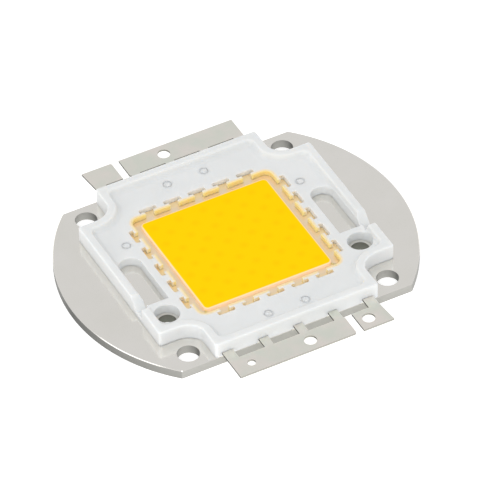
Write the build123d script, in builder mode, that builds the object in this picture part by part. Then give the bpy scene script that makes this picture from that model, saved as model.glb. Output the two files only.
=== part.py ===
from build123d import *
from math import radians, sqrt, tan
import os

os.makedirs("parts", exist_ok=True)

# A high power light emitting diode package: a metal base plate, a white moulded frame on it,
# two flat leads held in the frame, and a well of phosphor over an array of dies.
# Millimetres. The origin is at the middle of the plate's underside, +Z up,
# +X towards a round end of the plate and +Y towards the back lead.

# Base plate
plate_thickness = 1.5
plate_edge_break = 0.12
plate_corner = 0.3
mount_hole = 3.5
mount_side_margin = 3.0
mount_end_margin = 2.2
locating_hole = 2.8

# Dies and their wires
die_count = 10
die_pitch = 2.1
die_size = 1.0
die_height = 0.15
wire_size = 0.1
pad_inset = 0.2

# Well, ledge and phosphor, from the middle outwards
pit_margin = 0.25
pit_corner = 0.4
bond_width = 0.7
phosphor_corner = 0.8
phosphor_edge_round = 0.15
ledge_width = 1.1
cavity_corner = 1.2

# Pockets in the wall of the cavity, each a stem with a wider head
pocket_count = 5
stem_length = 0.65
stem_width = 1.5
head_depth = 0.75
head_width = 2.9
head_corner = 0.2

# Heights, each measured from the one before, starting at the plate's top
lead_lift = 0.4
lead_thickness = 0.3
phosphor_height = 0.5
floor_height = 0.9
rim_height = 1.05

# Leads
lead_overlap = 0.85
neck_width = 1.5
end_neck_width = 1.8
window_count = 4
window_anchor = 1.4
neck_length = 2.0
bar_depth = 4.0
slit_inset = 0.2
slit_width = 1.25
tab_flare = 0.4
tab_corner = 0.35
lead_hole = 2.0
mark_hole = 1.3
hole_from_slit = 1.85
lead_gap = 0.4
arm_cover = 0.6
ear_width = 2.0
ear_reach = 2.0
ear_gap = 1.55

# Frame
lead_side_wall = 1.0
screw_head_radius = 3.4
notch_bite = 0.25
rim_width = 1.3
rim_draft = 18.0
rim_inner_corner = 0.8
foot_round = 0.7
frame_corner = 0.4
elbow_round = 2.0
rim_edge_break = 0.15
slot_wall = 0.65
slot_width = 3.75
slot_front = 6.2
slot_back = 4.7
boss_bore = 4.0
boss_wall = 1.0
clip_start = 2.0
clip_end = 1.5
clip_slope = 47.5
clip_floor = 0.7
pin_mark = 1.2
pin_land = 2.0

# Levels
plate_top = plate_thickness
lead_bottom = plate_top + lead_lift
ledge_level = lead_bottom + lead_thickness
phosphor_top = ledge_level + phosphor_height
tray_floor = ledge_level + floor_height
rim_top = tray_floor + rim_height

# Plan sizes that follow from the values above
die_span = (die_count - 1) * die_pitch
pit_size = die_span + die_size + 2 * pit_margin
phosphor_size = pit_size + 2 * bond_width
cavity_size = phosphor_size + 2 * ledge_width
pocket_pitch = 2 * die_pitch
pocket_reach = cavity_size / 2 + stem_length + head_depth
arm_edge = pocket_reach + arm_cover
slot_inner = arm_edge + slot_wall
slot_middle = slot_inner + slot_width / 2
slot_outer = slot_inner + slot_width
lead_half = cavity_size / 2 + lead_overlap
lead_width = 2 * lead_half
lobe_half = lead_half + lead_side_wall
mount_spacing = 2 * (lobe_half + screw_head_radius - notch_bite)
mount_reach = mount_spacing / sqrt(2)
plate_width = mount_spacing + 2 * mount_side_margin
plate_length = 2 * mount_reach + mount_hole + 2 * mount_end_margin
foot_run = rim_height * tan(radians(rim_draft))
frame_reach = slot_outer + foot_run + rim_width
wing_width = mount_spacing - 2 * screw_head_radius
boss_y = -(slot_front + boss_wall + boss_bore / 2)
window_pitch = (lead_width - 2 * end_neck_width + neck_width) / window_count
window_width = window_pitch - neck_width
bar_inner = plate_width / 2 + neck_length
lead_reach = bar_inner + bar_depth
slit_start = window_pitch * (window_count / 2 - 1) + neck_width / 2 + slit_inset
slit_end = slit_start + slit_width
hole_side = slit_end + hole_from_slit
ear_y = slot_back + ear_gap + ear_width / 2
pin_x = 1.5 * die_pitch
pin_y = plate_width / 2 - window_anchor - pin_land
mitre = lead_gap / sqrt(2)
level_tolerance = 0.01


# Outlines that more than one piece shares

with BuildSketch() as pit:
    RectangleRounded(pit_size, pit_size, pit_corner)

pocket_rows = [(index - (pocket_count - 1) / 2) * pocket_pitch for index in range(pocket_count)]

with BuildSketch() as well:
    RectangleRounded(cavity_size, cavity_size, cavity_corner)
    with PolarLocations(0, 4):
        with Locations(*[(cavity_size / 2, row) for row in pocket_rows]):
            Rectangle(2 * stem_length, stem_width)
        with Locations(*[(pocket_reach - head_depth / 2, row) for row in pocket_rows]):
            Rectangle(head_depth, head_width)
    head_corners = well.vertices().filter_by(
        lambda point: max(abs(point.X), abs(point.Y)) > pocket_reach - level_tolerance
    )
    chamfer(head_corners, head_corner)

with BuildSketch() as outline:
    Rectangle(mount_spacing, mount_spacing)
    with GridLocations(mount_spacing, mount_spacing, 2, 2):
        Circle(screw_head_radius, mode=Mode.SUBTRACT)
    Rectangle(2 * frame_reach, wing_width)
    Rectangle(2 * lobe_half, plate_width)
    elbows = outline.vertices().filter_by(
        lambda point: abs(abs(point.X) - lobe_half) < level_tolerance
        and abs(point.Y) < mount_spacing / 2
    )
    fillet(elbows, elbow_round)
    ends = outline.vertices().group_by(Axis.X)
    sides = outline.vertices().group_by(Axis.Y)
    fillet(ends[0] + ends[-1] + sides[0] + sides[-1], frame_corner)


def strip_outline(arms, hole_places, short_tab_rounded):
    """The plan of one lead, drawn as the front one: bar, slit, necks, windows and ledge."""
    with BuildSketch() as strip:
        with BuildLine():
            Polyline(
                (-pit_size / 2 + mitre, -pit_size / 2),
                (-lead_half, -lead_half - mitre),
                (-lead_half, -lead_reach),
                (lead_half, -lead_reach),
                (lead_half, -lead_half - mitre),
                (pit_size / 2 - mitre, -pit_size / 2),
                close=True,
            )
        make_face()
        if arms:
            for side in (-1, 1):
                with BuildLine():
                    Polyline(
                        (0, -pit_size / 2),
                        (0, -arm_edge),
                        (side * arm_edge, -arm_edge),
                        (side * arm_edge, arm_edge - mitre),
                        (side * pit_size / 2, pit_size / 2 - mitre),
                        (side * pit_size / 2, -pit_size / 2),
                        close=True,
                    )
                make_face()
            with Locations((-arm_edge, -ear_y), (arm_edge, -ear_y)):
                Rectangle(2 * ear_reach, ear_width)
            add(pit.sketch, mode=Mode.SUBTRACT)
        with BuildLine():
            Polyline(
                (lead_half, -bar_inner),
                (lead_half + tab_flare, -lead_reach),
                (lead_half, -lead_reach),
                close=True,
            )
        make_face()
        with Locations((0, -plate_width / 2 + window_anchor)):
            with GridLocations(window_pitch, 1, window_count, 1):
                Rectangle(
                    window_width,
                    window_anchor + neck_length,
                    align=(Align.CENTER, Align.MAX),
                    mode=Mode.SUBTRACT,
                )
        with Locations((slit_start, -lead_reach)):
            Rectangle(
                slit_width,
                bar_depth + neck_length / 2,
                align=(Align.MIN, Align.MIN),
                mode=Mode.SUBTRACT,
            )
        edge_points = strip.vertices().group_by(Axis.Y)[0].sort_by(Axis.X)
        fillet(edge_points[2 if short_tab_rounded else 1], tab_corner)
        for hole_x, hole_size in hole_places:
            with Locations((hole_x, -bar_inner - bar_depth / 2)):
                Circle(hole_size / 2, mode=Mode.SUBTRACT)
    return strip.sketch


front_strip = strip_outline(
    arms=False,
    hole_places=[(-hole_side, mark_hole), (0, lead_hole), (hole_side, lead_hole)],
    short_tab_rounded=False,
)
back_strip = strip_outline(arms=True, hole_places=[(0, lead_hole)], short_tab_rounded=True)
back_strip = back_strip.rotate(Axis.Z, 180)


# Base plate: round ends, flat sides, four screw holes and two locating holes

with BuildPart() as base_plate:
    with BuildSketch() as plate_outline:
        Circle(plate_length / 2)
        Rectangle(plate_length, plate_width, mode=Mode.INTERSECT)
        fillet(plate_outline.vertices(), plate_corner)
    extrude(amount=plate_thickness)
    chamfer(base_plate.edges().group_by(Axis.Z)[-1], plate_edge_break)
    with BuildSketch():
        with GridLocations(mount_spacing, mount_spacing, 2, 2):
            Circle(mount_hole / 2)
        with Locations((-slot_middle, boss_y), (slot_middle, boss_y)):
            Circle(locating_hole / 2)
    extrude(amount=plate_thickness, mode=Mode.SUBTRACT)

base_plate.part.label = "base_plate"
export_step(base_plate.part, "parts/base_plate.step")


# Leads: two flat stampings on one level, held in the frame above the plate

with BuildPart() as front_lead:
    with BuildSketch(Plane.XY.offset(lead_bottom)):
        add(front_strip)
    extrude(amount=lead_thickness)

front_lead.part.label = "front_lead"
export_step(front_lead.part, "parts/front_lead.step")

with BuildPart() as back_lead:
    with BuildSketch(Plane.XY.offset(lead_bottom)):
        add(back_strip)
    extrude(amount=lead_thickness)

back_lead.part.label = "back_lead"
export_step(back_lead.part, "parts/back_lead.step")


# Frame: one white moulding, a tray with a drafted rim round the well

with BuildPart() as frame:
    with BuildSketch(Plane.XY.offset(plate_top)):
        add(outline.sketch)
    extrude(amount=rim_top - plate_top)

    # The tray inside the rim
    with BuildSketch(Plane.XY.offset(tray_floor)) as tray:
        add(outline.sketch)
        offset(amount=-(rim_width + foot_run), mode=Mode.REPLACE)
        tray_ends = tray.vertices().group_by(Axis.X)
        tray_sides = tray.vertices().group_by(Axis.Y)
        fillet(tray_ends[0] + tray_ends[-1] + tray_sides[0] + tray_sides[-1], rim_inner_corner)
    extrude(amount=rim_height, taper=-rim_draft, mode=Mode.SUBTRACT)
    foot = frame.edges().filter_by_position(
        Axis.Z, tray_floor - level_tolerance, tray_floor + level_tolerance
    )
    fillet(foot, foot_round)
    chamfer(frame.edges().group_by(Axis.Z)[-1], rim_edge_break)

    # The well down to the ledge, and the pit in it down to the plate
    with BuildSketch(Plane.XY.offset(ledge_level)):
        add(well.sketch)
    extrude(amount=floor_height, mode=Mode.SUBTRACT)
    with BuildSketch(Plane.XY.offset(plate_top)):
        add(pit.sketch)
    extrude(amount=ledge_level - plate_top, mode=Mode.SUBTRACT)

    # Room for the leads
    with BuildSketch(Plane.XY.offset(lead_bottom)):
        add(front_strip)
        add(back_strip)
    extrude(amount=lead_thickness, mode=Mode.SUBTRACT)

    # Slots with one round end, and bored bosses in line with them
    with BuildSketch(Plane.XY.offset(plate_top)):
        with Locations((-slot_middle, -slot_front), (slot_middle, -slot_front)):
            Rectangle(
                slot_width,
                slot_front + slot_back - slot_width / 2,
                align=(Align.CENTER, Align.MIN),
            )
        with Locations(
            (-slot_middle, slot_back - slot_width / 2),
            (slot_middle, slot_back - slot_width / 2),
        ):
            Circle(slot_width / 2)
        with Locations((-slot_middle, boss_y), (slot_middle, boss_y)):
            Circle(boss_bore / 2)
    extrude(amount=rim_top - plate_top, mode=Mode.SUBTRACT)

    # A ramped gap through the rim at the front end of each slot
    ramp_start = clip_start - slot_front
    ramp_drop = rim_top - plate_top - clip_floor
    ramp_end = ramp_start - ramp_drop / tan(radians(clip_slope))
    for side in (-1, 1):
        with BuildSketch(Plane.YZ.offset(side * slot_outer)):
            with BuildLine():
                Polyline(
                    (ramp_start, rim_top),
                    (ramp_end, rim_top - ramp_drop),
                    (-slot_front - clip_end, rim_top - ramp_drop),
                    (-slot_front - clip_end, rim_top),
                    close=True,
                )
            make_face()
        extrude(amount=side * (frame_reach - slot_outer), mode=Mode.SUBTRACT)

    # Marks of the pins that held the leads down in the mould
    with BuildSketch(Plane.XY.offset(ledge_level)):
        with GridLocations(2 * pin_x, 2 * pin_y, 2, 2):
            Circle(pin_mark / 2)
        with Locations(
            (-arm_edge - ear_reach / 2, ear_y),
            (arm_edge + ear_reach / 2, ear_y),
        ):
            Circle(pin_mark / 2)
    extrude(amount=rim_top - ledge_level, mode=Mode.SUBTRACT)

frame.part.label = "frame"
export_step(frame.part, "parts/frame.step")


# Dies in strings from front to back, and the wires that join each string to both leads


def wire_profile(start, end):
    """A wire seen from the side, from its foot at one (y, z) to its foot at the other."""
    start_y, start_z = start
    end_y, end_z = end
    with BuildSketch() as profile:
        with BuildLine():
            Polyline(
                (start_y, start_z),
                (start_y, start_z + wire_size),
                (end_y, end_z + wire_size),
                (end_y, end_z),
                close=True,
            )
        make_face()
    return profile.sketch


die_places = [index * die_pitch - die_span / 2 for index in range(die_count)]
die_top = plate_top + die_height
pad_reach = die_size / 2 - pad_inset
bond_place = (pit_size + bond_width) / 2
strings = []

for number, string_x in enumerate(die_places, start=1):
    with BuildPart() as die_string:
        with BuildSketch(Plane.XY.offset(plate_top)):
            with Locations(*[(string_x, place) for place in die_places]):
                Rectangle(die_size, die_size)
        extrude(amount=die_height)
    die_string.part.label = f"die_string_{number:02d}"
    export_step(die_string.part, f"parts/die_string_{number:02d}.step")

    with BuildPart() as wire_string:
        with BuildSketch(Plane.YZ.offset(string_x - wire_size / 2)):
            add(wire_profile((-bond_place, ledge_level), (die_places[0] - pad_reach, die_top)))
            for near, far in zip(die_places, die_places[1:]):
                add(wire_profile((near + pad_reach, die_top), (far - pad_reach, die_top)))
            add(wire_profile((die_places[-1] + pad_reach, die_top), (bond_place, ledge_level)))
        extrude(amount=wire_size)
    wire_string.part.label = f"wire_string_{number:02d}"
    export_step(wire_string.part, f"parts/wire_string_{number:02d}.step")
    strings += [die_string.part, wire_string.part]


# Phosphor in silicone: it fills the pit round the dies and stands above the ledge

with BuildPart() as phosphor_fill:
    with BuildSketch(Plane.XY.offset(plate_top)):
        add(pit.sketch)
    extrude(amount=ledge_level - plate_top)
    with BuildSketch(Plane.XY.offset(ledge_level)):
        RectangleRounded(phosphor_size, phosphor_size, phosphor_corner)
    extrude(amount=phosphor_height)
    fillet(phosphor_fill.edges().group_by(Axis.Z)[-1], phosphor_edge_round)
    add(strings, mode=Mode.SUBTRACT)

phosphor_fill.part.label = "phosphor_fill"
export_step(phosphor_fill.part, "parts/phosphor_fill.step")
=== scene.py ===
import math
import bpy
import bmesh
from mathutils import Matrix, Vector


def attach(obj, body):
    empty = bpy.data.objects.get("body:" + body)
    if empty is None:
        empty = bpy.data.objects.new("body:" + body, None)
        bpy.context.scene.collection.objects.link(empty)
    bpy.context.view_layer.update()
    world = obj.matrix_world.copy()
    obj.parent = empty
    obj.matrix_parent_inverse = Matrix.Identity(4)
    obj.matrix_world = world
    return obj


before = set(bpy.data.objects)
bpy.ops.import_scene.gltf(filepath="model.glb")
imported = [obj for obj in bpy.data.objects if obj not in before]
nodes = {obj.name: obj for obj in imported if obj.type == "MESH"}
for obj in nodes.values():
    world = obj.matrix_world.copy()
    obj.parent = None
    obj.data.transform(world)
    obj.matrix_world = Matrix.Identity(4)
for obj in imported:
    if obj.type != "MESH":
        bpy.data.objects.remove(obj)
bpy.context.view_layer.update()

millimetre = 0.001
stringCount = 10


# Colour and node helpers

def hexToLinear(hexColour):
    channels = [int(hexColour[i:i + 2], 16) / 255 for i in (1, 3, 5)]
    linear = [c / 12.92 if c <= 0.04045 else ((c + 0.055) / 1.055) ** 2.4 for c in channels]
    return (*linear, 1.0)


def addNode(tree, kind, settings=None, links=None):
    node = tree.nodes.new(kind)
    for name, value in (settings or {}).items():
        if isinstance(name, int) or name in node.inputs:
            node.inputs[name].default_value = value
        else:
            setattr(node, name, value)
    for name, source in (links or {}).items():
        tree.links.new(source, node.inputs[name])
    return node


def newMaterial(name):
    material = bpy.data.materials.new(name)
    material.use_nodes = True
    tree = material.node_tree
    tree.nodes.clear()
    surface = addNode(tree, "ShaderNodeBsdfPrincipled")
    addNode(tree, "ShaderNodeOutputMaterial", links={"Surface": surface.outputs["BSDF"]})
    coords = addNode(tree, "ShaderNodeTexCoord")
    return material, tree, surface, coords.outputs["Object"]


def patternScale(sizeInMm):
    return 1 / (sizeInMm * millimetre)


def giveMaterial(piece, material):
    piece.data.materials.clear()
    piece.data.materials.append(material)


# Masks that several materials share. The well is alike on both sides of X and of Y, so a place
# is taken by how far it lies from the middle, seen from above.

def placeFromMiddle(tree, coords):
    positive = addNode(tree, "ShaderNodeVectorMath", {"operation": "ABSOLUTE"}, {0: coords})
    plan = addNode(tree, "ShaderNodeVectorMath", {"operation": "MULTIPLY", 1: (1, 1, 0)},
                   {0: positive.outputs["Vector"]})
    return plan.outputs["Vector"]


# Grows outwards in squares, whose corners are rounded where both x and y pass cornerStart
def squareDistance(tree, coords, cornerStart):
    start = cornerStart * millimetre
    past = addNode(tree, "ShaderNodeVectorMath", {"operation": "SUBTRACT", 1: (start, start, 0)},
                   {0: placeFromMiddle(tree, coords)})
    clipped = addNode(tree, "ShaderNodeVectorMath", {"operation": "MAXIMUM", 1: (0, 0, 0)},
                      {0: past.outputs["Vector"]})
    reach = addNode(tree, "ShaderNodeVectorMath", {"operation": "LENGTH"},
                    {0: clipped.outputs["Vector"]})
    distance = addNode(tree, "ShaderNodeMath", {"operation": "ADD", 1: start},
                       {0: reach.outputs["Value"]})
    return distance.outputs["Value"]


def fadeOver(tree, value, startInMm, endInMm):
    fade = addNode(tree, "ShaderNodeMapRange",
                   {"From Min": startInMm * millimetre, "From Max": endInMm * millimetre,
                    "To Min": 1.0, "To Max": 0.0}, {"Value": value})
    return fade.outputs["Result"]


def mixColours(tree, share, first, second):
    mix = addNode(tree, "ShaderNodeMix", {"data_type": "RGBA"}, {"Factor": share})
    for socket, colour in ((6, first), (7, second)):
        if isinstance(colour, str):
            mix.inputs[socket].default_value = hexToLinear(colour)
        else:
            tree.links.new(colour, mix.inputs[socket])
    return mix.outputs[2]


# A blanked edge is torn and dull where the flat face is bright, darkened further with painted shade,
# and lighter where it faces along Y, a painted reflection of the bright floor.
# The slope is how far a surface points up: an upright wall is below the first, a flat face above
# the second.

shearedAndShadedSlopes = {
    "upright": 0.25,
    "flat": 0.6,
}


def addShearedEdgeAndShade(tree, flatColour, settings):
    geometry = addNode(tree, "ShaderNodeNewGeometry")
    positive = addNode(tree, "ShaderNodeVectorMath", {"operation": "ABSOLUTE"},
                       {0: geometry.outputs["Normal"]})
    parts = addNode(tree, "ShaderNodeSeparateXYZ", links={"Vector": positive.outputs["Vector"]})
    upright = addNode(tree, "ShaderNodeMapRange",
                      {"From Min": shearedAndShadedSlopes["upright"], "From Max": shearedAndShadedSlopes["flat"],
                       "To Min": 1.0, "To Max": 0.0}, {"Value": parts.outputs["Z"]})
    # Painted shade and painted reflection: edges facing along X take the shaded colour, edges facing
    # along Y the lighter reflected one
    edgeColour = mixColours(tree, parts.outputs["Y"], settings["tornEdgeShade"], settings["tornEdgeSheen"])
    colour = mixColours(tree, upright.outputs["Result"], flatColour, edgeColour)
    return colour, upright.outputs["Result"]


# Camera at the photograph's angle

cameraSettings = {
    "azimuth": 26.475,
    "elevation": 42.53,
    "roll": -1.909,
    "distance": 969.96,
    "focalPixels": 6359.6,
    "framePixels": 480,
    "aimPixel": (236.25, 256.04),
    "sensor": 36.0,
    "clipStart": 50,
    "clipEnd": 20000,
}


def placeCamera(settings):
    turn, tilt, roll = (math.radians(settings[k]) for k in ("azimuth", "elevation", "roll"))
    back = Vector((-math.sin(turn) * math.cos(tilt), -math.cos(turn) * math.cos(tilt), math.sin(tilt)))
    level = Vector((math.cos(turn), -math.sin(turn), 0))
    upright = back.cross(level)
    right = level * math.cos(roll) + upright * math.sin(roll)
    up = upright * math.cos(roll) - level * math.sin(roll)
    middle = settings["framePixels"] / 2
    perPixel = settings["distance"] / settings["focalPixels"]
    aside = (settings["aimPixel"][0] - middle) * perPixel
    above = (middle - settings["aimPixel"][1]) * perPixel
    place = (back * settings["distance"] - right * aside - up * above) * millimetre
    camera = bpy.data.cameras.new("photoCamera")
    camera.sensor_width = settings["sensor"]
    camera.lens = settings["sensor"] * settings["focalPixels"] / settings["framePixels"]
    camera.clip_start = settings["clipStart"] * millimetre
    camera.clip_end = settings["clipEnd"] * millimetre
    holder = bpy.data.objects.new("photoCamera", camera)
    holder.matrix_world = Matrix((
        (right.x, up.x, back.x, place.x),
        (right.y, up.y, back.y, place.y),
        (right.z, up.z, back.z, place.z),
        (0, 0, 0, 1),
    ))
    bpy.context.scene.collection.objects.link(holder)
    bpy.context.scene.camera = holder


placeCamera(cameraSettings)
print("camera placed")


# Studio: a pale floor that glows like a light table, an even white surround and two soft lights

studioSettings = {
    "floorSize": 3000,
    "floorColour": "#f7f7f7",
    "floorGlow": 0.48,
    "floorRoughness": 0.9,
    "floorSpecular": 0.1,
    "surroundColour": "#ffffff",
    "surroundStrength": 0.74,
    "keyPlace": (-260, -430, 560),
    "keySize": 450,
    "keyPower": 1.8,
    "fillPlace": (-600, 50, 350),
    "fillSize": 400,
    "fillPower": 0.4,
}


def addSoftLight(name, place, size, power):
    light = bpy.data.lights.new(name, "AREA")
    light.shape = "SQUARE"
    light.size = size * millimetre
    light.energy = power
    holder = bpy.data.objects.new(name, light)
    holder.location = Vector(place) * millimetre
    holder.rotation_euler = (-holder.location).to_track_quat("-Z", "Y").to_euler()
    bpy.context.scene.collection.objects.link(holder)


def buildStudio(settings):
    mesh = bpy.data.meshes.new("paleFloor")
    shape = bmesh.new()
    halfFloor = settings["floorSize"] * millimetre / 2
    bmesh.ops.create_grid(shape, x_segments=1, y_segments=1, size=halfFloor)
    shape.to_mesh(mesh)
    shape.free()
    floor = bpy.data.objects.new("paleFloor", mesh)
    bpy.context.scene.collection.objects.link(floor)
    paper, _, surface, _ = newMaterial("matt white paper sweep")
    surface.inputs["Base Color"].default_value = hexToLinear(settings["floorColour"])
    surface.inputs["Roughness"].default_value = settings["floorRoughness"]
    surface.inputs["Specular IOR Level"].default_value = settings["floorSpecular"]
    surface.inputs["Emission Color"].default_value = hexToLinear(settings["floorColour"])
    surface.inputs["Emission Strength"].default_value = settings["floorGlow"]
    giveMaterial(floor, paper)
    world = bpy.data.worlds.new("whiteSurround")
    world.use_nodes = True
    background = world.node_tree.nodes["Background"]
    background.inputs["Color"].default_value = hexToLinear(settings["surroundColour"])
    background.inputs["Strength"].default_value = settings["surroundStrength"]
    bpy.context.scene.world = world
    addSoftLight("keyLight", settings["keyPlace"], settings["keySize"], settings["keyPower"])
    addSoftLight("fillLight", settings["fillPlace"], settings["fillSize"], settings["fillPower"])
    bpy.context.scene.view_settings.view_transform = "Standard"


buildStudio(studioSettings)
print("studio built")


# Nickel plating on copper, tumbled to a satin: blurred reflections, a fine grain, dull torn edges
# with painted shade and a lighter painted reflection along Y, and painted shade on the wall of the
# two small locating holes, which lie in the shadow of the frame above

nickelSettings = {
    "colour": "#f3f0ec",
    "stainColour": "#ebe9e2",
    "stainSize": 5.0,
    "stainDetail": 3.0,
    "locatingHole": (16.525, 9.2),
    "locatingEdge": 1.42,
    "locatingFade": 0.05,
    # painted shade on the walls of the locating holes
    "locatingHoleShade": "#83847b",
    # painted shade on the torn edges, and a painted reflection where they face along Y
    "tornEdgeShade": "#5f5f5c",
    "tornEdgeSheen": "#b4b3ae",
    "roughness": 0.16,
    "edgeRoughness": 0.5,
    "grainSize": 0.25,
    "grainDetail": 3.0,
    "grainStrength": 0.2,
    "grainDepth": 0.003,
}


def makeNickel(settings):
    material, tree, surface, coords = newMaterial("satin nickel plated copper")
    stain = addNode(tree, "ShaderNodeTexNoise",
                    {"Scale": patternScale(settings["stainSize"]), "Detail": settings["stainDetail"]},
                    {"Vector": coords})
    flat = mixColours(tree, stain.outputs["Fac"], settings["colour"], settings["stainColour"])
    edged, upright = addShearedEdgeAndShade(tree, flat, settings)
    # Painted shade on the walls of the locating holes, which lie in the shadow of the frame above.
    # The holes are at the front only, but this darkens the same places at the back of the underside
    holeX, holeY = settings["locatingHole"]
    fromHole = addNode(tree, "ShaderNodeVectorMath",
                       {"operation": "DISTANCE", 1: (holeX * millimetre, holeY * millimetre, 0)},
                       {0: placeFromMiddle(tree, coords)})
    holeLimit = settings["locatingEdge"] + settings["locatingFade"]
    inHole = fadeOver(tree, fromHole.outputs["Value"], settings["locatingEdge"], holeLimit)
    colour = mixColours(tree, inHole, edged, settings["locatingHoleShade"])
    dull = addNode(tree, "ShaderNodeMapRange",
                   {"To Min": settings["roughness"], "To Max": settings["edgeRoughness"]},
                   {"Value": upright})
    grain = addNode(tree, "ShaderNodeTexNoise",
                    {"Scale": patternScale(settings["grainSize"]), "Detail": settings["grainDetail"]},
                    {"Vector": coords})
    bump = addNode(tree, "ShaderNodeBump",
                   {"Strength": settings["grainStrength"],
                    "Distance": settings["grainDepth"] * millimetre},
                   {"Height": grain.outputs["Fac"]})
    surface.inputs["Metallic"].default_value = 1.0
    tree.links.new(colour, surface.inputs["Base Color"])
    tree.links.new(dull.outputs["Result"], surface.inputs["Roughness"])
    tree.links.new(bump.outputs["Normal"], surface.inputs["Normal"])
    return material


# Silver plating on the blanked leads: faint handling patches and roll lines, dark sheared sides
# with painted shade and a lighter painted reflection where they face along Y, and on the ledge and
# in the pockets a thin matt film of silicone, cream in the light of the well

silverSettings = {
    "pinkPatch": "#f1ebe4",
    "greenPatch": "#e7e9df",
    "patchSize": 3.5,
    "patchDetail": 3.0,
    "patchSpread": (0.35, 0.65),
    "cornerStart": 10.8,
    "ledgeColour": "#f3dfc0",
    "pocketColour": "#f9e3b6",
    "ledgeEnd": 12.0,
    "ledgeFade": 0.4,
    "pocketEnd": 13.5,
    "pocketFade": 0.1,
    # painted shade on the torn edges, and a painted reflection where they face along Y
    "tornEdgeShade": "#4a4945",
    "tornEdgeSheen": "#a9a79f",
    "roughness": 0.34,
    "edgeRoughness": 0.45,
    "filmedMetallic": 0.55,
    "rollMark": 0.4,
    "rollStretch": 0.08,
    "rollDetail": 4.0,
    "rollStrength": 0.15,
    "rollDepth": 0.002,
}


def makeSilver(settings):
    material, tree, surface, coords = newMaterial("satin silver plated copper")
    patch = addNode(tree, "ShaderNodeTexNoise",
                    {"Scale": patternScale(settings["patchSize"]), "Detail": settings["patchDetail"]},
                    {"Vector": coords})
    lowPatch, highPatch = settings["patchSpread"]
    spread = addNode(tree, "ShaderNodeMapRange",
                     {"From Min": lowPatch, "From Max": highPatch}, {"Value": patch.outputs["Fac"]})
    plain = mixColours(tree, spread.outputs["Result"], settings["pinkPatch"], settings["greenPatch"])
    distance = squareDistance(tree, coords, settings["cornerStart"])
    ledgeLimit = settings["ledgeEnd"] + settings["ledgeFade"]
    wellLimit = settings["pocketEnd"] + settings["pocketFade"]
    onLedge = fadeOver(tree, distance, settings["ledgeEnd"], ledgeLimit)
    inWell = fadeOver(tree, distance, settings["pocketEnd"], wellLimit)
    cast = mixColours(tree, onLedge, settings["pocketColour"], settings["ledgeColour"])
    flat = mixColours(tree, inWell, plain, cast)
    colour, upright = addShearedEdgeAndShade(tree, flat, settings)
    dull = addNode(tree, "ShaderNodeMapRange",
                   {"To Min": settings["roughness"], "To Max": settings["edgeRoughness"]},
                   {"Value": upright})
    lines = addNode(tree, "ShaderNodeMapping", {"Scale": (settings["rollStretch"], 1, 1)},
                    {"Vector": coords})
    marks = addNode(tree, "ShaderNodeTexNoise",
                    {"Scale": patternScale(settings["rollMark"]), "Detail": settings["rollDetail"]},
                    {"Vector": lines.outputs["Vector"]})
    bump = addNode(tree, "ShaderNodeBump",
                   {"Strength": settings["rollStrength"],
                    "Distance": settings["rollDepth"] * millimetre},
                   {"Height": marks.outputs["Fac"]})
    filmed = addNode(tree, "ShaderNodeMapRange",
                     {"To Min": 1.0, "To Max": settings["filmedMetallic"]}, {"Value": inWell})
    tree.links.new(filmed.outputs["Result"], surface.inputs["Metallic"])
    tree.links.new(colour, surface.inputs["Base Color"])
    tree.links.new(dull.outputs["Result"], surface.inputs["Roughness"])
    tree.links.new(bump.outputs["Normal"], surface.inputs["Normal"])
    return material


# White reflective PPA, injection moulded: faintly translucent satin skin with soft flow marks,
# tinted yellow by the phosphor's light down the walls of the well and a little way over its brim

mouldingSettings = {
    "name": "white moulded PPA",
    "colour": "#eaebeb",
    "flowColour": "#e1e3e3",
    "flowSize": 6.0,
    "flowDetail": 2.0,
    "flowBend": 0.8,
    "glowColour": "#ffdb92",
    "cornerStart": 10.8,
    "brimStart": 12.0,
    "brimEnd": 12.6,
    "pocketEnd": 13.4,
    "wallTop": 3.0,
    "trayLevel": 3.1,
    "roughness": 0.62,
    "specular": 0.15,
    "skinGrain": 0.12,
    "skinDetail": 2.0,
    "skinStrength": 0.3,
    "skinDepth": 0.003,
    "scatterDepth": 0.7,
    "scatterColours": (1.0, 0.95, 0.9),
}

# The same moulding where the cold pins chilled its skin, with flow marks a shade lighter
chilledSettings = {
    **mouldingSettings,
    "name": "PPA skin chilled by the pins",
    "flowColour": "#e3e5e4",
}


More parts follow.
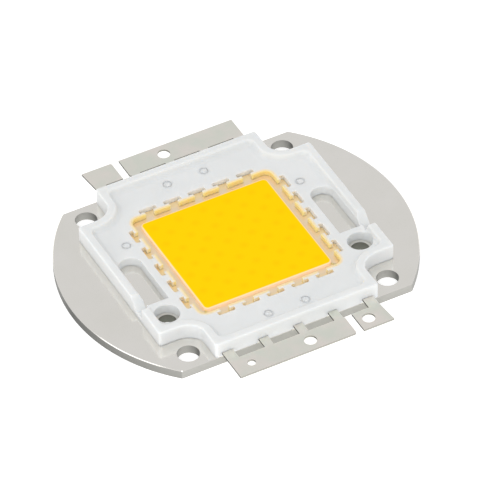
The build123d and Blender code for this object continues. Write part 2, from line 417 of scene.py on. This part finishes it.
def makeMoulding(settings):
    material, tree, surface, coords = newMaterial(settings["name"])
    flow = addNode(tree, "ShaderNodeTexNoise",
                   {"Scale": patternScale(settings["flowSize"]), "Detail": settings["flowDetail"],
                    "Distortion": settings["flowBend"]}, {"Vector": coords})
    white = mixColours(tree, flow.outputs["Fac"], settings["colour"], settings["flowColour"])
    distance = squareDistance(tree, coords, settings["cornerStart"])
    height = addNode(tree, "ShaderNodeSeparateXYZ", links={"Vector": coords})
    brim = fadeOver(tree, distance, settings["brimStart"], settings["brimEnd"])
    near = fadeOver(tree, distance, settings["brimStart"], settings["pocketEnd"])
    below = fadeOver(tree, height.outputs["Z"], settings["wallTop"], settings["trayLevel"])
    inPocket = addNode(tree, "ShaderNodeMath", {"operation": "MULTIPLY"}, {0: near, 1: below})
    glow = addNode(tree, "ShaderNodeMath", {"operation": "MAXIMUM"},
                   {0: brim, 1: inPocket.outputs["Value"]})
    colour = mixColours(tree, glow.outputs["Value"], white, settings["glowColour"])
    skin = addNode(tree, "ShaderNodeTexNoise",
                   {"Scale": patternScale(settings["skinGrain"]), "Detail": settings["skinDetail"]},
                   {"Vector": coords})
    bump = addNode(tree, "ShaderNodeBump",
                   {"Strength": settings["skinStrength"],
                    "Distance": settings["skinDepth"] * millimetre},
                   {"Height": skin.outputs["Fac"]})
    tree.links.new(colour, surface.inputs["Base Color"])
    tree.links.new(bump.outputs["Normal"], surface.inputs["Normal"])
    surface.inputs["Roughness"].default_value = settings["roughness"]
    surface.inputs["Specular IOR Level"].default_value = settings["specular"]
    surface.inputs["Subsurface Weight"].default_value = 1.0
    surface.inputs["Subsurface Radius"].default_value = settings["scatterColours"]
    surface.inputs["Subsurface Scale"].default_value = settings["scatterDepth"] * millimetre
    return material


# Yellow phosphor in cured silicone: saturated and a little luminous, paler at its thin edge,
# with faint darker spots in staggered rows where it settled

phosphorSettings = {
    "colour": "#ffce00",
    "spotColour": "#fabd00",
    "edgeColour": "#ffe6c8",
    "cornerStart": 10.1,
    "edgeStart": 10.66,
    "edgeEnd": 10.86,
    "spotPitch": (4.2, 4.0),
    "spotPlaces": ((0.9, -1.0), (-0.9, 1.0)),
    "spotSize": 1.0,
    "spotStrength": 0.4,
    "luminous": 0.08,
    "roughness": 0.5,
    "specular": 0.03,
}


def makePhosphor(settings):
    material, tree, surface, coords = newMaterial("cast phosphor silicone")
    pitchX, pitchY = settings["spotPitch"]
    nearest = []
    for placeX, placeY in settings["spotPlaces"]:
        grid = addNode(tree, "ShaderNodeMapping",
                       {"Location": (-placeX / pitchX, -placeY / pitchY, 0),
                        "Scale": (patternScale(pitchX), patternScale(pitchY), 0)}, {"Vector": coords})
        cells = addNode(tree, "ShaderNodeTexVoronoi",
                        {"voronoi_dimensions": "2D", "Scale": 1.0, "Randomness": 0.0},
                        {"Vector": grid.outputs["Vector"]})
        nearest.append(cells.outputs["Distance"])
    closer = addNode(tree, "ShaderNodeMath", {"operation": "MINIMUM"}, {0: nearest[0], 1: nearest[1]})
    spot = addNode(tree, "ShaderNodeMapRange",
                   {"From Max": settings["spotSize"] / pitchX,
                    "To Min": settings["spotStrength"], "To Max": 0.0},
                   {"Value": closer.outputs["Value"]})
    yellow = mixColours(tree, spot.outputs["Result"], settings["colour"], settings["spotColour"])
    distance = squareDistance(tree, coords, settings["cornerStart"])
    inside = fadeOver(tree, distance, settings["edgeStart"], settings["edgeEnd"])
    colour = mixColours(tree, inside, settings["edgeColour"], yellow)
    tree.links.new(colour, surface.inputs["Base Color"])
    tree.links.new(colour, surface.inputs["Emission Color"])
    surface.inputs["Emission Strength"].default_value = settings["luminous"]
    surface.inputs["Roughness"].default_value = settings["roughness"]
    surface.inputs["Specular IOR Level"].default_value = settings["specular"]
    return material


# Sapphire dies, polished: a blue grey gloss with a faint cloudy haze, hidden under the phosphor

dieSettings = {
    "colour": "#8fa0b8",
    "hazeColour": "#a5b3c6",
    "hazeSize": 0.3,
    "roughness": 0.15,
}


def makeDie(settings):
    material, tree, surface, coords = newMaterial("polished sapphire die")
    haze = addNode(tree, "ShaderNodeTexNoise", {"Scale": patternScale(settings["hazeSize"])},
                   {"Vector": coords})
    colour = mixColours(tree, haze.outputs["Fac"], settings["colour"], settings["hazeColour"])
    tree.links.new(colour, surface.inputs["Base Color"])
    surface.inputs["Roughness"].default_value = settings["roughness"]
    return material


# Gold wire, drawn: a bright warm metal with fine duller marks, hidden under the phosphor

wireSettings = {
    "colour": "#e8b85a",
    "markColour": "#d9a748",
    "markSize": 0.05,
    "roughness": 0.25,
}


def makeWire(settings):
    material, tree, surface, coords = newMaterial("drawn gold wire")
    marks = addNode(tree, "ShaderNodeTexNoise", {"Scale": patternScale(settings["markSize"])},
                    {"Vector": coords})
    colour = mixColours(tree, marks.outputs["Fac"], settings["colour"], settings["markColour"])
    tree.links.new(colour, surface.inputs["Base Color"])
    surface.inputs["Metallic"].default_value = 1.0
    surface.inputs["Roughness"].default_value = settings["roughness"]
    return material


nickel = makeNickel(nickelSettings)
silver = makeSilver(silverSettings)
moulding = makeMoulding(mouldingSettings)
chilled = makeMoulding(chilledSettings)
phosphor = makePhosphor(phosphorSettings)
die = makeDie(dieSettings)
wire = makeWire(wireSettings)
giveMaterial(nodes["base_plate"], nickel)
giveMaterial(nodes["front_lead"], silver)
giveMaterial(nodes["back_lead"], silver)
giveMaterial(nodes["frame"], moulding)
giveMaterial(nodes["phosphor_fill"], phosphor)
for number in range(1, stringCount + 1):
    giveMaterial(nodes[f"die_string_{number:02d}"], die)
    giveMaterial(nodes[f"wire_string_{number:02d}"], wire)
print("materials given")


# Marks of the pins that held the leads down: the moulding closed over each one, level with the
# tray but for its faint round outline

pinMarkSettings = {
    "places": ((3.15, 16.6), (-3.15, 16.6), (3.15, -16.6), (-3.15, -16.6), (15.0, 7.25), (-15.0, 7.25)),
    "radius": 0.66,
    "bottom": 2.25,
    "top": 3.104,
    "sameLevel": 0.001,
    "edgeRound": 0.003,
    "edgeSegments": 3,
    "segments": 48,
}


def buildPinMarks(settings, material):
    shape = bmesh.new()
    height = settings["top"] - settings["bottom"]
    for placeX, placeY in settings["places"]:
        middle = Vector((placeX, placeY, settings["bottom"] + height / 2)) * millimetre
        bmesh.ops.create_cone(shape, cap_ends=True, segments=settings["segments"],
                              radius1=settings["radius"] * millimetre,
                              radius2=settings["radius"] * millimetre,
                              depth=height * millimetre, matrix=Matrix.Translation(middle))
    top = settings["top"] * millimetre
    sameLevel = settings["sameLevel"] * millimetre
    topEdges = [edge for edge in shape.edges
                if all(abs(point.co.z - top) < sameLevel for point in edge.verts)]
    bmesh.ops.bevel(shape, geom=topEdges, offset=settings["edgeRound"] * millimetre, affect="EDGES",
                    segments=settings["edgeSegments"], profile=0.5, material=-1)
    bmesh.ops.recalc_face_normals(shape, faces=shape.faces)
    mesh = bpy.data.meshes.new("pinMarks")
    shape.to_mesh(mesh)
    shape.free()
    piece = bpy.data.objects.new("pinMarks", mesh)
    bpy.context.scene.collection.objects.link(piece)
    giveMaterial(piece, material)
    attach(piece, "root")


buildPinMarks(pinMarkSettings, chilled)
print("pin marks built")
